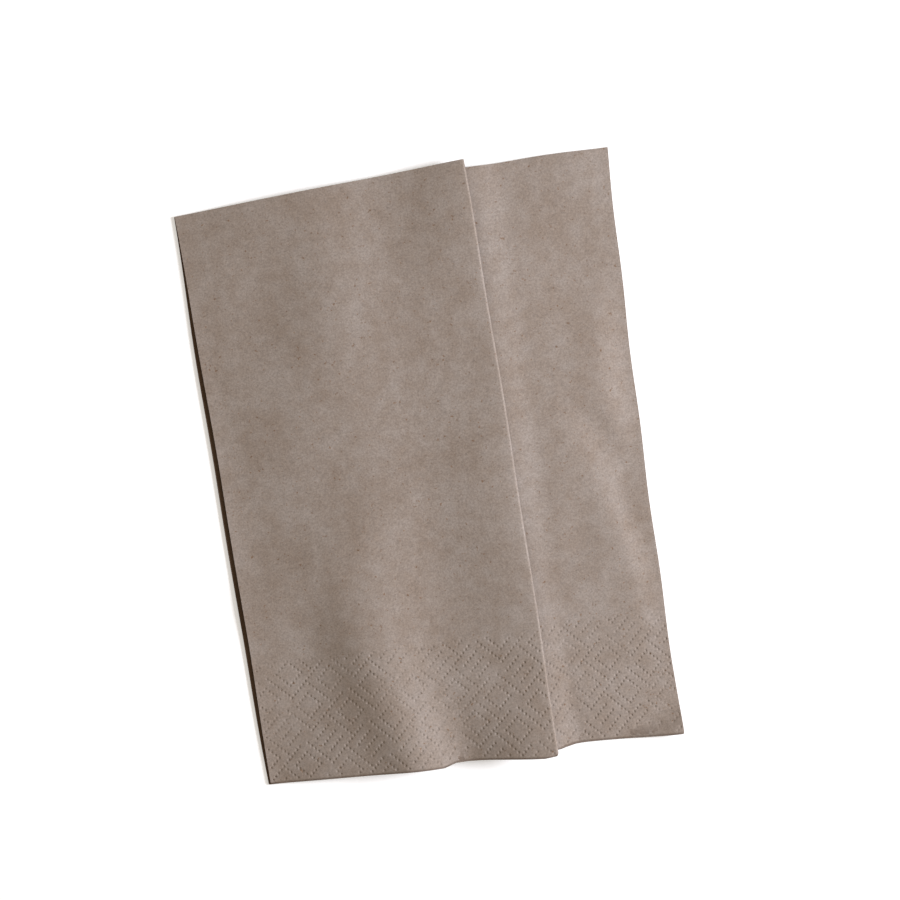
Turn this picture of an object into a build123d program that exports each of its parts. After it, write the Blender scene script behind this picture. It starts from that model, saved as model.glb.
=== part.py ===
"""A paper napkin: one square sheet of tissue, folded in quarters and pleated once.

The sheet is folded in half along the top edge, and in half again along the right edge,
which makes a square of four leaves. All four are then pleated together: an over panel
on the left, a return panel hidden beneath it, and an under panel that shows as a strip
on the right. The cut edges of the leaves lie along the bottom and the left.

Frame: X across the pleat, Y up the napkin to its top fold, Z up from the table.
The origin is the middle of the footprint, on the table.
"""

import os
from math import asin, atan2, cos, degrees, hypot, pi, radians, sin

from build123d import *

# The flat sheet
napkin_side = 400.0  # side of the open square
sheet_thickness = 0.2  # both plies together

# How loosely the leaves lie on each other
leaf_gap = 0.2  # air between the two leaves of a band
band_gap = 0.3  # air between one band and the next

# Where the pleat is folded, along the slope of the over panel
over_panel = 97.3  # free edge to the front fold
return_panel = 25.0  # front fold back to the hidden fold

# The top fold makes the sheet a band of two leaves, and the bands lie a pitch apart
band_thickness = 2 * sheet_thickness + leaf_gap
pitch = band_thickness + band_gap
folded_side = napkin_side / 2

# At each fold of the pleat one band turns inside the other, round the same centre
inner_turn = pitch / 2
outer_turn = inner_turn + pitch

# The over panel leans on the hidden fold, and slopes from the table up to the front fold
over_reach = over_panel - return_panel
lower_rise = outer_turn + pitch
upper_rise = lower_rise + pitch
slope = degrees(atan2(lower_rise, over_reach) + asin(outer_turn / hypot(over_reach, lower_rise)))
slope_cos = cos(radians(slope))
slope_sin = sin(radians(slope))

# The under panel is what the other panels and the turns leave of the sheet's width
front_turns = pi * (inner_turn + outer_turn)
hidden_turns = radians(180 - slope) * (inner_turn + outer_turn)
side_turn = pi * inner_turn
turned_width = front_turns + hidden_turns + side_turn
under_panel = (napkin_side - turned_width) / 2 - over_panel - return_panel

# The hidden fold is placed so that the footprint is centred on the origin
left_reach = over_reach * slope_cos + (upper_rise + band_thickness / 2) * slope_sin
right_reach = under_panel + inner_turn + band_thickness / 2
hidden_x = (left_reach - right_reach) / 2
hidden_z = band_thickness / 2 + outer_turn

# The free edge of the upper band
free_x = hidden_x - over_reach * slope_cos - upper_rise * slope_sin
free_z = hidden_z - over_reach * slope_sin + upper_rise * slope_cos

with BuildPart() as napkin:
    # The run of the band across the pleat: out through the upper leaves and back
    # through the lower ones
    with BuildLine(Plane.XZ) as run:
        over = PolarLine((free_x, free_z), over_panel, angle=slope)
        front = JernArc(over @ 1, over % 1, outer_turn, -180)
        back = PolarLine(front @ 1, return_panel, angle=slope + 180)
        hidden = JernArc(back @ 1, back % 1, inner_turn, 180 - slope)
        under = PolarLine(hidden @ 1, under_panel, angle=0)
        side = JernArc(under @ 1, under % 1, inner_turn, -180)
        lower_under = PolarLine(side @ 1, under_panel, angle=180)
        lower_hidden = JernArc(lower_under @ 1, lower_under % 1, outer_turn, slope - 180)
        lower_back = PolarLine(lower_hidden @ 1, return_panel, angle=slope)
        lower_front = JernArc(lower_back @ 1, lower_back % 1, inner_turn, 180)
        lower_over = PolarLine(lower_front @ 1, over_panel, angle=slope + 180)

    # The band's section: two leaves, joined by the round of the top fold
    with BuildSketch(Plane(over @ 0, x_dir=(0, 1, 0), z_dir=over % 0)) as band:
        cut_edge = -folded_side / 2
        fold_centre = folded_side / 2 - band_thickness / 2
        with BuildLine():
            outer_leaf = Line((cut_edge, band_thickness / 2), (fold_centre, band_thickness / 2))
            outer_round = JernArc(outer_leaf @ 1, outer_leaf % 1, band_thickness / 2, -180)
            lower_leaf = Line(outer_round @ 1, (cut_edge, -band_thickness / 2))
            Line(lower_leaf @ 1, (cut_edge, -leaf_gap / 2))
            inner_leaf = Line((cut_edge, -leaf_gap / 2), (fold_centre, -leaf_gap / 2))
            inner_round = JernArc(inner_leaf @ 1, inner_leaf % 1, leaf_gap / 2, 180)
            upper_leaf = Line(inner_round @ 1, (cut_edge, leaf_gap / 2))
            Line(upper_leaf @ 1, outer_leaf @ 0)
        make_face()
    sweep(path=run.line)

napkin.part.label = "napkin"

os.makedirs("parts", exist_ok=True)
export_step(napkin.part, "parts/napkin.step")
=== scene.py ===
import math

import bpy
import numpy as np
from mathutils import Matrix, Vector


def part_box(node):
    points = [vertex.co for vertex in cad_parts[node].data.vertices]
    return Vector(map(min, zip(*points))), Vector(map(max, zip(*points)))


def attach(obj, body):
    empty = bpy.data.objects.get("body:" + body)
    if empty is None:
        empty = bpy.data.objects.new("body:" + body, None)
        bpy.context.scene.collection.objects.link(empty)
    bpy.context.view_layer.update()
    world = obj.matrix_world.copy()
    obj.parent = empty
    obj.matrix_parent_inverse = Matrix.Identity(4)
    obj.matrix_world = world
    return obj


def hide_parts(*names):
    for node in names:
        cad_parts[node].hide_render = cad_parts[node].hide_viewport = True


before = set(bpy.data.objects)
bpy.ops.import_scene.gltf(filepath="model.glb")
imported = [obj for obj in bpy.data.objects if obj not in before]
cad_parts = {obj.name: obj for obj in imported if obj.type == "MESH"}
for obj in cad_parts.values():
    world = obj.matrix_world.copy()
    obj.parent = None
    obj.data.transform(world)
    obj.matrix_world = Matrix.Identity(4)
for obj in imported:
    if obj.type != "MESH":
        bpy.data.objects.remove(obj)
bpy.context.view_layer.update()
scene = bpy.context.scene


# ---------------------------------------------------------------------------
# The folded sheet
# One square of unbleached two-ply tissue, folded in half along the top and again
# along the right. The four leaves are then pleated together by hand.
# ---------------------------------------------------------------------------

# The section works in millimetres, and MM turns them into metres
MM = 0.001
SHEET_SIDE = 400.0
LEAF = 0.14
LEAF_GAP = 0.06
BAND_GAP = 0.06
OVER_PANEL = 97.3
RETURN_PANEL = 25.0

# A band is two leaves, joined by the top fold, and its middle is where heights start.
# The outer skin lies at SKIN from the middle and the inner one at LINING.
BAND = 2 * LEAF + LEAF_GAP
PITCH = BAND + BAND_GAP
INNER_TURN = PITCH / 2
OUTER_TURN = INNER_TURN + PITCH
SKIN = BAND / 2
LINING = LEAF_GAP / 2
CUT_EDGE = -SHEET_SIDE / 4
TOP_ROUND = SHEET_SIDE / 4 - SKIN

# The over panel and the return panel slope up to the front fold, and the hidden fold turns
# the run level again
over_reach = OVER_PANEL - RETURN_PANEL
slope = math.atan2(OUTER_TURN + PITCH, over_reach)
slope += math.asin(OUTER_TURN / math.hypot(over_reach, OUTER_TURN + PITCH))
hidden_bend = math.pi - slope
turned = math.pi * (2 * INNER_TURN + OUTER_TURN) + hidden_bend * (INNER_TURN + OUTER_TURN)
UNDER_PANEL = (SHEET_SIDE - turned) / 2 - OVER_PANEL - RETURN_PANEL

# The dots stand on a square grid turned by 45 degrees, and the columns and rows of the
# mesh are whole parts of that grid's step across
DOT_STEP = 1.5
ACROSS_STEP = DOT_STEP / math.sqrt(2)
COARSE = 2 * ACROSS_STEP
PLAIN_STEP = 2.6
BORDER_ROWS = 80
ROWS_IN_STEP = 8
ROUND_PARTS = 6

# A station is used by every layer (0), by the outer skin (1) or by the border alone (2)
EVERY, OUTER, BORDER = 0, 1, 2
NO_DOTS = -1.0

# name, length or radius, turn, parts, share of the under panel's place at start and end
RUN = [
    ("over", OVER_PANEL, 0, 6, 0, 0),
    ("front", OUTER_TURN, -math.pi, 12, 0, 0),
    ("back", RETURN_PANEL, 0, 1, 0, 1),
    ("hidden", INNER_TURN, hidden_bend, 6, 1, 1),
    ("under", UNDER_PANEL, 0, 6, 1, 1),
    ("side", INNER_TURN, -math.pi, 8, 1, 1),
    ("lower_under", UNDER_PANEL, 0, 4, 1, 1),
    ("lower_hidden", OUTER_TURN, -hidden_bend, 10, 1, 1),
    ("lower_back", RETURN_PANEL, 0, 1, 1, 0),
    ("lower_front", INNER_TURN, math.pi, 6, 0, 0),
    ("lower_over", OVER_PANEL, 0, 4, 0, 0),
]


def lay_run():
    """Stations across the pleat: x, z, heading, level, share, dot column, side fold."""
    x, z, heading = 0.0, 0.0, slope
    out = [(x, z, heading, EVERY, 0.0, 0.0, 0.0)]
    for name, size, turn, parts, share_a, share_b in RUN:
        if turn:
            angle = turn / parts
            chord = 2 * size * math.sin(abs(angle) / 2)
            for _ in range(parts):
                x += chord * math.cos(heading + angle / 2)
                z += chord * math.sin(heading + angle / 2)
                heading += angle
                out.append((x, z, heading, EVERY, share_b, NO_DOTS, float(name == "side")))
            continue
        x0, z0 = x, z
        count = math.ceil(size / COARSE)
        for i in range(count):
            start = i * COARSE
            end = min(start + COARSE, size)
            covered = name in ("under", "lower_over") and end < RETURN_PANEL
            cuts = 1 if covered else parts
            for j in range(1, cuts + 1):
                gone = start + (end - start) * j / cuts
                level = BORDER if j < cuts else OUTER if i % 2 == 0 and i < count - 1 else EVERY
                station_share = share_a + (share_b - share_a) * gone / size
                x = x0 + gone * math.cos(heading)
                z = z0 + gone * math.sin(heading)
                out.append((x, z, heading, level, station_share, gone, 0.0))
    return np.array(out)


# The side fold ends where the CAD solid ends, and the under panel lies on the table
run_x, run_z, heading, level, share, dot_column, side_fold = lay_run().T
run_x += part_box("napkin")[1].x / MM - SKIN - run_x.max()
run_z += SKIN - run_z[share == 1].min()
levels = level.astype(int)
stations = len(run_x)
upper_leaves = (np.arange(stations) < stations // 2).astype(float)
LEFT_EDGE = run_x[0]
FRONT_EDGE = LEFT_EDGE + OVER_PANEL + OUTER_TURN


def round_angles():
    """The inner points of a half turn, from the upper leaf to the lower one."""
    return [math.pi / 2 - math.pi * i / ROUND_PARTS for i in range(1, ROUND_PARTS)]


def lay_rows():
    """The band's section, once round: distance up the sheet, height off the middle, level."""
    rows = []
    half = ACROSS_STEP / 2
    border = [CUT_EDGE + i * half for i in range(BORDER_ROWS + 1)]
    count = 2 * round((TOP_ROUND - border[-1]) / PLAIN_STEP / 2)
    plain = list(np.linspace(border[-1], TOP_ROUND, count + 1)[1:])
    every = border[::ROWS_IN_STEP] + plain[1::2]
    angles = round_angles()
    rows += [(y, SKIN, BORDER) for y in border[:-1]]
    rows += [(border[-1], SKIN, OUTER)]
    rows += [(y, SKIN, OUTER) for y in plain]
    rows += [(TOP_ROUND + SKIN * math.cos(a), SKIN * math.sin(a), EVERY) for a in angles]
    rows += [(y, -SKIN, EVERY) for y in reversed(every)]
    rows += [(y, -LINING, EVERY) for y in every]
    rows += [(TOP_ROUND + LINING * math.cos(a), LINING * math.sin(a), EVERY) for a in reversed(angles)]
    rows += [(y, LINING, EVERY) for y in reversed(every)]
    return rows, every


rows, every_rows = lay_rows()


# How the pleated sheet lies. The over panel and the under panel are each pulled a little
# out of square, and the leaves between them share the two.
HALF_HEIGHT = SHEET_SIDE / 4
OVER_LEFT = -72.4
OVER_FRONT = 26.0
OVER_LEAN = 1.8
FRONT_LEAN = 0.8
EDGE_SLIP = 1.7
EDGE_REACH = 9
BULGE_HEIGHT = 3.4
RAMP_HEIGHT = 2.8
BUCKLE_TOP = -33
BUCKLE_FALL = 66
BUCKLE_HEIGHT = 3.0
UNDER_SIDE = 72.1
UNDER_LEAN = 2.1
UNDER_WIDTH = 72.26


def smooth(t):
    """0 up to 0, 1 from 1 on, and a soft step between them."""
    t = np.clip(t, 0, 1)
    return t * t * (3 - 2 * t)


def mound(x, y, x0, y0, wide, long, turn=0.0):
    """A soft oval mound of height 1 about one place."""
    c, s = math.cos(turn), math.sin(turn)
    u = ((x - x0) * c + (y - y0) * s) / wide
    v = (-(x - x0) * s + (y - y0) * c) / long
    return np.exp(-(u * u + v * v) / 2)


def waves(x, y, shift):
    """The slight unevenness of soft tissue."""
    out = 0.2 * np.sin(x / 9.0 + y / 23.0 + 0.7 + shift)
    out = out + 0.18 * np.sin(-x / 17.0 + y / 11.0 + 2.1 + shift)
    out = out + 0.12 * np.sin(x / 6.0 - y / 15.0 + 4.0 + shift)
    return out + 0.42


def buckle(x, y):
    """One long buckle, from the middle of the over panel's left half to the bottom edge."""
    down = np.clip((BUCKLE_TOP - y) / BUCKLE_FALL, -0.6, 1.1)
    crest = -36 + 3 * down + 11.5 * down * np.abs(down)
    side = x - crest
    width = np.where(side < 0, 8.5, 11.5 - 3 * down)
    ridge = np.exp(-((side / width) ** 2) / 2)
    return BUCKLE_HEIGHT * ridge * smooth(down + 0.35)


def over_place(x, y, upper):
    """Where the over panel has a place, and how high. upper is 1 on the upper leaves."""
    t = y / HALF_HEIGHT
    bow = 1 - t * t
    left = OVER_LEFT - OVER_LEAN * t + 0.6 * bow
    front = OVER_FRONT - FRONT_LEAN * t + 0.7 * bow
    from_left = x - LEFT_EDGE
    u = from_left / (FRONT_EDGE - LEFT_EDGE)
    x = from_left + OVER_LEFT
    new_x = left + (front - left) * u

    # The bottom edge steps up beside the buckle, and is rounded off at the front fold
    new_y = y * (0.972 + 0.042 * np.clip(u, 0, 1.05))
    foot = smooth((-70 - y) / 30)
    new_y = new_y + 1.3 * foot * smooth((x + 13) / 5) * (1 - smooth((x + 4) / 30))
    new_y = new_y + 1.3 * smooth((x - 23.5) / 3) * smooth((-96 - y) / 4)

    # The open edge gapes, and the lower leaves stick out of it
    open_edge = np.exp(-(((y + 10) / 95) ** 4)) * np.exp(-np.clip(from_left, 0, None) / EDGE_REACH)
    new_x = new_x - EDGE_SLIP * open_edge * (1 - upper) + 0.12 * np.sin(y / 11)
    lift = (1.2 - 0.3 * upper) * open_edge

    # The panel bulges off the table, sags a little and rises to the front fold
    bulge = BULGE_HEIGHT - 0.8 * smooth((y - 50) / 50) - 0.8 * smooth((y - 86) / 14)
    bulge = bulge - 0.6 * np.exp(-(((y + 30) / 25) ** 2))
    lift = lift + bulge * smooth(u / 0.5) - 1.2 * smooth((u - 0.45) / 0.25)
    lift = lift + RAMP_HEIGHT * smooth((u - 0.68) / 0.32) * (0.6 + 0.4 * smooth((50 - y) / 120))
    lift = lift + foot * (1.6 * smooth(u / 0.35) + 2.6 * smooth((u - 0.66) / 0.27))

    # The buckle, the hollow on its right, two low swells and the waves
    lift = lift + buckle(x, y)
    lift = lift - 1.6 * mound(x, y, -8, -96, 6, 24, 0.15) * smooth((u - 0.3) * 4)
    lift = lift + 0.6 * mound(x, y, -52, -30, 30, 6, 0.4) + 0.35 * mound(x, y, -30, 35, 14, 30, 0.3)
    lift = lift + waves(x, y, 0.0) * smooth(u * 6 + 0.1)

    # The lower leaves lie flatter than the upper ones, the more so near the open edge
    flatter = np.where(upper > 0, 1.0, 0.4 + 0.6 * smooth(u))
    return new_x, new_y, np.maximum(lift, 0) * flatter


def under_place(x, y):
    """Where the under panel has a place, and how high."""
    t = y / HALF_HEIGHT
    bow = 1 - t * t
    hidden = 0.6 * t
    side = UNDER_SIDE + UNDER_LEAN * t - 1.1 * bow + 0.2 * np.sin(y / 8 + 1)
    new_x = hidden + (side - hidden) * (x / UNDER_WIDTH)
    low = 0.988 + 0.022 * smooth((x - 31) / 45) + 0.014 * mound(x, y, 27, y, 3.5, 1)
    new_y = y * np.where(y > 0, 0.989 + 0.002 * np.sin(x / 6.5), low)

    # It rises towards the pleat, and stands off the table between its own edges
    near = smooth((OVER_FRONT + 11 - x) / 11)
    foot = smooth((-y - 45) / 60)
    lift = near * (1.3 + 1.4 * foot)
    lift = lift + 1.8 * smooth((72 - x) / 12) * smooth((70 - np.abs(y)) / 40)
    lift = lift + 1.4 * np.clip((72 - x) / 45, 0, 1) * smooth((y + 35) / 50)

    # Three shallow hollows, and the curled lower corner
    lift = lift - 1.8 * mound(x, y, 65, -22, 3.5, 13, 0.3) - 1.6 * mound(x, y, 58.5, 2, 4, 9, 0.6)
    lift = lift - 0.4 * mound(x, y, 47, -28, 3.5, 9, -0.2)
    lift = lift + 2.7 * smooth(((x - 57) * 0.5 - (y + 97) * 0.87) / 10)
    lift = lift + (waves(x, y, 1.3) - 0.1) * 0.8 * smooth((72.2 - x) / 12)
    return new_x, new_y, np.maximum(lift, 0)


# Under the over panel, the under panel is never lifted further than what lies on it
LOWER_SLIP = 0.45
FREE_RISE = 8

grid = np.zeros((len(rows), stations, 3))
for r, (y, off, _) in enumerate(rows):
    x = run_x - off * np.sin(heading)
    z = run_z + off * np.cos(heading)
    slipped = np.full_like(x, y - LOWER_SLIP * smooth((-80 - y) / 20) * (off < 0))
    over_x, over_y, over_lift = over_place(x, slipped, upper_leaves)
    under_x, under_y, under_lift = under_place(x, slipped)
    under_lift = np.minimum(under_lift, over_lift + FREE_RISE * smooth((x - FRONT_EDGE + 3) / 12))
    grid[r, :, 0] = over_x + (under_x - over_x) * share
    grid[r, :, 1] = over_y + (under_y - over_y) * share
    grid[r, :, 2] = z + over_lift + (under_lift - over_lift) * share

# One closed skin: each row keeps only the stations of its level. The attributes say where
# a point lies on the open sheet, whether it is on the outer skin, and how much painted shade
# its colour takes inside the open edge, on the side fold or on the cut edge.
RIM_WIDTH = 4.0
EDGE_RIM = 0.5

index = -np.ones((len(rows), stations), int)
points, columns, ups, skins, rims = [], [], [], [], []
for r, (y, off, row_level) in enumerate(rows):
    keep = np.nonzero(levels <= row_level)[0]
    index[r, keep] = np.arange(len(points), len(points) + len(keep))
    points.extend(grid[r, keep] * MM)
    columns.extend(dot_column[keep] * MM)
    ups.extend([(y - CUT_EDGE) * MM] * len(keep))
    skins.extend([1.0 if off == SKIN and flat > NO_DOTS else 0.0 for flat in dot_column[keep]])
    inside = off < SKIN and y < TOP_ROUND
    open_side = inside * (np.abs(run_x[keep] - LEFT_EDGE) < RIM_WIDTH)
    rims.extend(np.maximum(open_side, EDGE_RIM * np.maximum(side_fold[keep], y == CUT_EDGE)))

# A face between two rows takes in all the points along both of its sides
faces = []
for a in range(len(rows)):
    b = (a + 1) % len(rows)
    marks = np.nonzero(levels <= min(rows[a][2], rows[b][2]))[0]
    for s, e in zip(marks[:-1], marks[1:]):
        near_side = [int(i) for i in index[a, s : e + 1] if i >= 0]
        far_side = [int(i) for i in index[b, s : e + 1] if i >= 0]
        faces.append(near_side + far_side[::-1])

row_places = [(round(y, 6), round(off, 6)) for y, off, _ in rows]


def on_row(off, y):
    return row_places.index((round(y, 6), round(off, 6)))


# The cut ends, where the run starts and stops: a strip for each leaf, and the round
# of the top fold between them
def end_faces(column, flip):
    def between(first, last):
        return [index[r, column] for r in range(first, last + 1)]

    out = []
    for y0, y1 in zip(every_rows[:-1], every_rows[1:]):
        for outside, inside in ((SKIN, LINING), (-LINING, -SKIN)):
            outer_edge = between(*sorted((on_row(outside, y0), on_row(outside, y1))))
            inner_edge = between(*sorted((on_row(inside, y0), on_row(inside, y1))))
            out.append(outer_edge + inner_edge)
    outer = between(on_row(SKIN, TOP_ROUND), on_row(-SKIN, TOP_ROUND))
    inner = between(on_row(-LINING, TOP_ROUND), on_row(LINING, TOP_ROUND))[::-1]
    for i in range(ROUND_PARTS):
        out.append([outer[i], outer[i + 1], inner[i + 1], inner[i]])
    return [[int(i) for i in (face[::-1] if flip else face)] for face in out]


faces += end_faces(0, False) + end_faces(stations - 1, True)

mesh = bpy.data.meshes.new("napkin_sheet")
mesh.from_pydata([tuple(p) for p in points], [], faces)
mesh.validate()
for name, values in (("column", columns), ("up", ups), ("skin", skins), ("rim", rims)):
    mesh.attributes.new(name, "FLOAT", "POINT").data.foreach_set("value", np.array(values, np.float32))
mesh.shade_smooth()
mesh.set_sharp_from_angle(angle=math.radians(50))
plain_sheet = bpy.data.objects.new("napkin_sheet", mesh)
scene.collection.objects.link(plain_sheet)


# The embossing rolls press a border of dots along the bottom: small diamonds, and long
# rows that run round them both ways at 45 degrees. REPEAT, DRIFT and DIAMOND count dots,
# and counts that differ by less than NEAR_ENOUGH are the same.
EMBOSS_HEIGHT = 43.0 * MM
EMBOSS_FADE = 3.5 * MM
EMBOSS_DEPTH = 0.16 * MM
DOT_RADIUS = 0.62 * MM
REPEAT = 8.0
DRIFT = 3.0
DIAMOND = 2.0
NEAR_ENOUGH = 0.1


def tree_tools(tree):
    """Short ways to add a sum, an even spread or a soft step to a node tree."""
    nodes, links = tree.nodes, tree.links

    def put(node, socket, value):
        if isinstance(value, bpy.types.NodeSocket):
            links.new(value, node.inputs[socket])
        else:
            node.inputs[socket].default_value = value

    def calc(operation, *values):
        node = nodes.new("ShaderNodeMath")
        node.operation = operation
        for i, value in enumerate(values):
            put(node, i, value)
        return node.outputs[0]

    def spread(value, low, high, out_low, out_high, kind="LINEAR"):
        node = nodes.new("ShaderNodeMapRange")
        node.interpolation_type = kind
        put(node, "Value", value)
        put(node, "From Min", low)
        put(node, "From Max", high)
        put(node, "To Min", out_low)
        put(node, "To Max", out_high)
        return node.outputs["Result"]

    def fade(value, low, high, out_low=0.0, out_high=1.0):
        return spread(value, low, high, out_low, out_high, "SMOOTHSTEP")

    return put, calc, spread, fade


def dots(calc, fade, column, up, skin, step, radius, height, soft_top):
    """How far each place of the sheet is pressed in, from 0 to 1."""
    diagonal_step = calc("MULTIPLY", step, math.sqrt(2))
    along = calc("DIVIDE", calc("ADD", up, column), diagonal_step)
    back = calc("DIVIDE", calc("SUBTRACT", up, column), diagonal_step)
    m, n = calc("ROUND", along), calc("ROUND", back)
    off_m, off_n = calc("SUBTRACT", along, m), calc("SUBTRACT", back, n)
    distance = calc("SQRT", calc("ADD", calc("MULTIPLY", off_m, off_m), calc("MULTIPLY", off_n, off_n)))
    dot = calc("SUBTRACT", 1.0, fade(calc("MULTIPLY", distance, step), 0.0, radius))

    # Each repeat holds a diamond, and the next line of repeats has drifted along
    line = calc("FLOOR", calc("DIVIDE", n, REPEAT))
    drifted = calc("SUBTRACT", m, calc("MULTIPLY", line, DRIFT))
    i = calc("ABSOLUTE", calc("SUBTRACT", calc("FLOORED_MODULO", drifted, REPEAT), REPEAT / 2))
    j = calc("ABSOLUTE", calc("SUBTRACT", calc("FLOORED_MODULO", n, REPEAT), REPEAT / 2))
    reach = calc("MAXIMUM", i, j)

    # Every third diamond is made of bars, and the others are rings
    kind = calc("FLOORED_MODULO", calc("ADD", line, calc("FLOOR", calc("DIVIDE", drifted, REPEAT))), 3.0)
    barred = calc("COMPARE", kind, 1.0, NEAR_ENOUGH)
    every_other = calc("COMPARE", calc("PINGPONG", j, 1.0), 0.0, NEAR_ENOUGH)
    bars = calc("MULTIPLY", calc("LESS_THAN", reach, DIAMOND + NEAR_ENOUGH), every_other)
    bars = calc("MULTIPLY", bars, barred)
    ring = calc("MULTIPLY", calc("COMPARE", reach, DIAMOND, NEAR_ENOUGH), calc("SUBTRACT", 1.0, barred))
    diamond = calc("MAXIMUM", ring, bars)

    # The rows between the diamonds: all of them one way, and with gaps the other way
    short_row = calc("COMPARE", i, REPEAT / 2, NEAR_ENOUGH)
    unbroken = calc("LESS_THAN", calc("FLOORED_MODULO", drifted, 2 * REPEAT), 1.5 * REPEAT)
    long_row = calc("MULTIPLY", calc("COMPARE", j, REPEAT / 2, NEAR_ENOUGH), unbroken)
    pattern = calc("MAXIMUM", diamond, calc("MAXIMUM", short_row, long_row))

    # The border stops softly at its top, and just short of the sheet's edges
    border = fade(up, calc("SUBTRACT", height, soft_top), height, 1.0, 0.0)
    border = calc("MULTIPLY", border, fade(up, 0.2 * MM, 1.0 * MM))
    border = calc("MULTIPLY", border, fade(column, 0.0, 1.2 * MM))
    border = calc("MULTIPLY", border, calc("GREATER_THAN", skin, 0.97))
    return calc("MULTIPLY", calc("MULTIPLY", dot, pattern), border)


def emboss_tree(material):
    tree = bpy.data.node_groups.new("emboss_border", "GeometryNodeTree")
    face = tree.interface
    face.new_socket("Geometry", in_out="INPUT", socket_type="NodeSocketGeometry")
    for label in ("Dot step", "Dot radius", "Depth", "Border height", "Fade"):
        face.new_socket(label, in_out="INPUT", socket_type="NodeSocketFloat")
    face.new_socket("Geometry", in_out="OUTPUT", socket_type="NodeSocketGeometry")
    nodes, links = tree.nodes, tree.links
    put, calc, _, fade = tree_tools(tree)
    given = nodes.new("NodeGroupInput").outputs

    def read(name):
        node = nodes.new("GeometryNodeInputNamedAttribute")
        node.data_type = "FLOAT"
        node.inputs["Name"].default_value = name
        return node.outputs["Attribute"]

    sizes = (given["Dot step"], given["Dot radius"], given["Border height"], given["Fade"])
    amount = dots(calc, fade, read("column"), read("up"), read("skin"), *sizes)
    press = nodes.new("ShaderNodeVectorMath")
    press.operation = "SCALE"
    links.new(nodes.new("GeometryNodeInputNormal").outputs["Normal"], press.inputs[0])
    put(press, "Scale", calc("MULTIPLY", amount, calc("MULTIPLY", given["Depth"], -1.0)))
    move = nodes.new("GeometryNodeSetPosition")
    links.new(given["Geometry"], move.inputs["Geometry"])
    links.new(press.outputs["Vector"], move.inputs["Offset"])
    real = nodes.new("GeometryNodeRealizeInstances")
    links.new(move.outputs["Geometry"], real.inputs["Geometry"])
    paint = nodes.new("GeometryNodeSetMaterial")
    paint.inputs["Material"].default_value = material
    links.new(real.outputs["Geometry"], paint.inputs["Geometry"])
    links.new(paint.outputs["Geometry"], nodes.new("NodeGroupOutput").inputs["Geometry"])
    return tree


# Unbleached tissue: a dull grey-brown, clouded where the pulp lies thick and thin, with
# long fibres, a few dark specks of bark and a soft, slightly napped surface. Noise scales
# are per metre, and each fibre's three sizes are in metres.
BROWN_PULP = (0.318, 0.2545, 0.2085, 1)
GREY_PULP = (0.346, 0.296, 0.262, 1)
BARK = (0.7, 0.56, 0.44, 1)
RIM_SHADE = (0.3, 0.22, 0.15, 1)
CLOUD_SCALE = 190
PATCH_SCALE = 48
GRAIN_SCALE = 1500
BARK_SCALE = 950
WEAR_SCALE = 70
FIBRE_SIZE = (1 / 450, 1 / 4200, 1 / 800)
FIBRE_LAYERS = ((0.3, 0.67), (1.4, 0.68), (2.5, 0.68))
NAP = 0.025
DENT = 0.19


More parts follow.
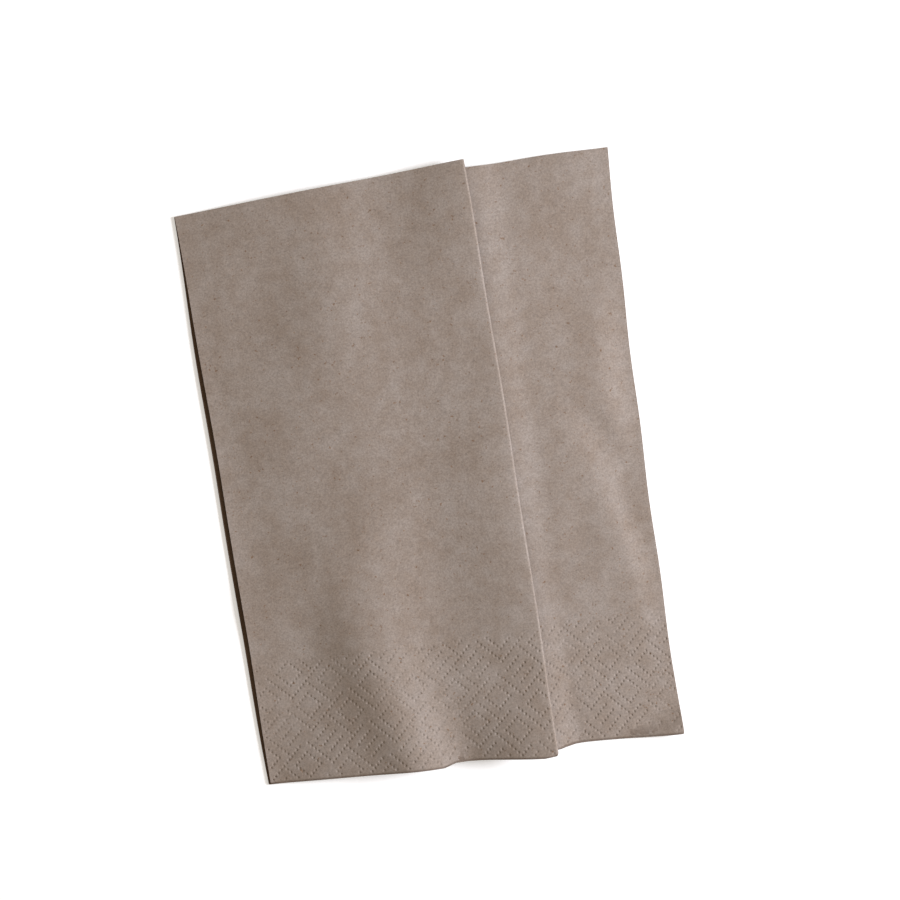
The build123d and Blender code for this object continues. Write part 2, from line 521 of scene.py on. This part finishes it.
def kraft_tissue():
    material = bpy.data.materials.new("kraft_tissue")
    material.use_nodes = True
    nodes, links = material.node_tree.nodes, material.node_tree.links
    put, calc, spread, fade = tree_tools(material.node_tree)
    shader = nodes["Principled BSDF"]
    place = nodes.new("ShaderNodeTexCoord").outputs["Object"]

    def noise(scale, detail, rough, source=place, distortion=0.0):
        node = nodes.new("ShaderNodeTexNoise")
        links.new(source, node.inputs["Vector"])
        node.inputs["Scale"].default_value = scale
        node.inputs["Detail"].default_value = detail
        node.inputs["Roughness"].default_value = rough
        node.inputs["Distortion"].default_value = distortion
        return node.outputs["Fac"]

    def read(name):
        node = nodes.new("ShaderNodeAttribute")
        node.attribute_name = name
        return node.outputs["Fac"]

    def fibres(turn, low):
        place_turned = nodes.new("ShaderNodeMapping")
        place_turned.vector_type = "TEXTURE"
        place_turned.inputs["Rotation"].default_value = (0, 0, turn)
        place_turned.inputs["Scale"].default_value = FIBRE_SIZE
        links.new(place, place_turned.inputs["Vector"])
        streaks = noise(1.0, 1.0, 0.4, place_turned.outputs["Vector"], 0.6)
        return spread(streaks, low, low + 0.1, 1.0, 0.8)

    def mix(factor, first, second, blend="MIX"):
        node = nodes.new("ShaderNodeMix")
        node.data_type = "RGBA"
        node.blend_type = blend
        put(node, "Factor", factor)
        put(node, "A", first)
        put(node, "B", second)
        return node.outputs["Result"]

    clouds = noise(CLOUD_SCALE, 4, 0.62)
    patches = noise(PATCH_SCALE, 3, 0.55)
    tone = calc("MULTIPLY", spread(clouds, 0.3, 0.7, 0.965, 1.035), spread(patches, 0.3, 0.7, 0.965, 1.035))
    tone = calc("MULTIPLY", tone, spread(noise(GRAIN_SCALE, 3, 0.8), 0.25, 0.75, 0.7, 1.3))
    for turn, low in FIBRE_LAYERS:
        tone = calc("MULTIPLY", tone, fibres(turn, low))

    # The same dots as in the mesh, worn away here and there, and a little darker with painted shade in
    # their pits
    sizes = (DOT_STEP * MM, DOT_RADIUS, EMBOSS_HEIGHT, EMBOSS_FADE)
    pressed = dots(calc, fade, read("column"), read("up"), read("skin"), *sizes)
    pressed = calc("MULTIPLY", pressed, spread(noise(WEAR_SCALE, 2, 0.5), 0.35, 0.55, 0.45, 1.0))
    # Painted shade: the colour darkens by up to 7 percent where the dots press in
    shade = calc("MULTIPLY", tone, spread(pressed, 0.0, 1.0, 1.0, 0.93))

    grey = spread(calc("ADD", clouds, patches), 0.7, 1.3, 0.0, 1.0)
    bark = spread(noise(BARK_SCALE, 1, 0.5), 0.68, 0.78, 0.0, 1.0)
    colour = mix(1.0, mix(grey, BROWN_PULP, GREY_PULP), shade, "MULTIPLY")
    colour = mix(bark, colour, BARK, "MULTIPLY")
    # Painted shade: the colour darkens towards RIM_SHADE inside the open edge, where the leaves shade each
    # other, and half as much on the side fold and the cut edge
    colour = mix(read("rim"), colour, RIM_SHADE, "MULTIPLY")
    links.new(colour, shader.inputs["Base Color"])
    shader.inputs["Roughness"].default_value = 0.9
    shader.inputs["Specular IOR Level"].default_value = 0.2
    shader.inputs["Sheen Weight"].default_value = 0.08
    shader.inputs["Sheen Roughness"].default_value = 0.6

    # Relief in millimetres: the nap of the pulp, less the dots
    bump = nodes.new("ShaderNodeBump")
    bump.inputs["Distance"].default_value = MM
    put(bump, "Height", calc("SUBTRACT", calc("MULTIPLY", tone, NAP), calc("MULTIPLY", pressed, DENT)))
    links.new(bump.outputs["Normal"], shader.inputs["Normal"])
    return material


modifier = plain_sheet.modifiers.new("emboss_border", "NODES")
modifier.node_group = emboss_tree(kraft_tissue())
EMBOSS_SIZES = {
    "Dot step": DOT_STEP * MM,
    "Dot radius": DOT_RADIUS,
    "Depth": EMBOSS_DEPTH,
    "Border height": EMBOSS_HEIGHT,
    "Fade": EMBOSS_FADE,
}
for socket in modifier.node_group.interface.items_tree:
    if socket.name in EMBOSS_SIZES:
        modifier[socket.identifier] = EMBOSS_SIZES[socket.name]
shaped = plain_sheet.evaluated_get(bpy.context.evaluated_depsgraph_get())
napkin_mesh = bpy.data.meshes.new_from_object(shaped)
bpy.data.objects.remove(plain_sheet)
napkin = bpy.data.objects.new("folded_napkin", napkin_mesh)
scene.collection.objects.link(napkin)
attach(napkin, "root")
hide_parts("napkin")


# ---------------------------------------------------------------------------
# The table
# A plain white surface that goes out of sight on every side and keeps the shadow.
# It glows a little to the camera alone, and more further off, so that it stays white.
# ---------------------------------------------------------------------------

TABLE_WIDTH = 6.0
NEAR, FAR = 0.2, 1.2
NEAR_GLOW, FAR_GLOW = 0.34, 0.85

bpy.ops.mesh.primitive_plane_add(size=TABLE_WIDTH)
table = bpy.context.object
table.name = "table"
white = bpy.data.materials.new("white_table")
white.use_nodes = True
white_nodes, white_links = white.node_tree.nodes, white.node_tree.links
put, calc, spread, fade = tree_tools(white.node_tree)
white_shader = white_nodes["Principled BSDF"]
white_shader.inputs["Base Color"].default_value = (0.93, 0.93, 0.93, 1)
white_shader.inputs["Roughness"].default_value = 0.9
white_shader.inputs["Specular IOR Level"].default_value = 0.1
white_shader.inputs["Emission Color"].default_value = (1, 1, 1, 1)
from_middle = white_nodes.new("ShaderNodeVectorMath")
from_middle.operation = "LENGTH"
white_links.new(white_nodes.new("ShaderNodeTexCoord").outputs["Object"], from_middle.inputs[0])
bright = spread(from_middle.outputs["Value"], NEAR, FAR, NEAR_GLOW, FAR_GLOW)
to_camera = white_nodes.new("ShaderNodeLightPath").outputs["Is Camera Ray"]
white_links.new(calc("MULTIPLY", to_camera, bright), white_shader.inputs["Emission Strength"])
table.data.materials.append(white)


# ---------------------------------------------------------------------------
# The light
# One wide soft lamp low on the right, a dim warm room that fills the shadows, and a
# white backdrop that only the camera sees.
# ---------------------------------------------------------------------------

world = bpy.data.worlds.new("room")
world.use_nodes = True
room_nodes, room_links = world.node_tree.nodes, world.node_tree.links
room_light = room_nodes["Background"]
room_light.inputs["Color"].default_value = (1.0, 0.89, 0.75, 1)
room_light.inputs["Strength"].default_value = 0.4
backdrop = room_nodes.new("ShaderNodeBackground")
backdrop.inputs["Color"].default_value = (1, 1, 1, 1)
choose = room_nodes.new("ShaderNodeMixShader")
room_links.new(room_nodes.new("ShaderNodeLightPath").outputs["Is Camera Ray"], choose.inputs[0])
room_links.new(room_light.outputs["Background"], choose.inputs[1])
room_links.new(backdrop.outputs["Background"], choose.inputs[2])
room_links.new(choose.outputs["Shader"], room_nodes["World Output"].inputs["Surface"])
scene.world = world

WINDOW_PLACE = Vector((1.0, -0.03, 0.62))
window = bpy.data.lights.new("window", "AREA")
window.shape = "DISK"
window.size = 0.32
window.energy = 15.3
window.color = (0.98, 1.0, 1.09)
window_object = bpy.data.objects.new("window", window)
window_object.location = WINDOW_PLACE
window_object.rotation_euler = (-WINDOW_PLACE).to_track_quat("-Z", "Y").to_euler()
scene.collection.objects.link(window_object)


# ---------------------------------------------------------------------------
# The camera
# It looks straight down from high above, so that the edges stay straight, and is
# turned so that the napkin leans to the left.
# ---------------------------------------------------------------------------

LEAN = math.radians(8.6)
VIEW_WIDTH = 305.0 * MM
CAMERA_HEIGHT = 0.8
CAMERA_OVER = (6.2 * MM, 5.2 * MM)

camera = bpy.data.cameras.new("overhead")
camera.sensor_width = 36.0
camera.lens = camera.sensor_width * CAMERA_HEIGHT / VIEW_WIDTH
camera_object = bpy.data.objects.new("overhead", camera)
camera_object.location = (*CAMERA_OVER, CAMERA_HEIGHT)
camera_object.rotation_euler = (0, 0, -LEAN)
scene.collection.objects.link(camera_object)
scene.camera = camera_object

scene.view_settings.view_transform = "Standard"
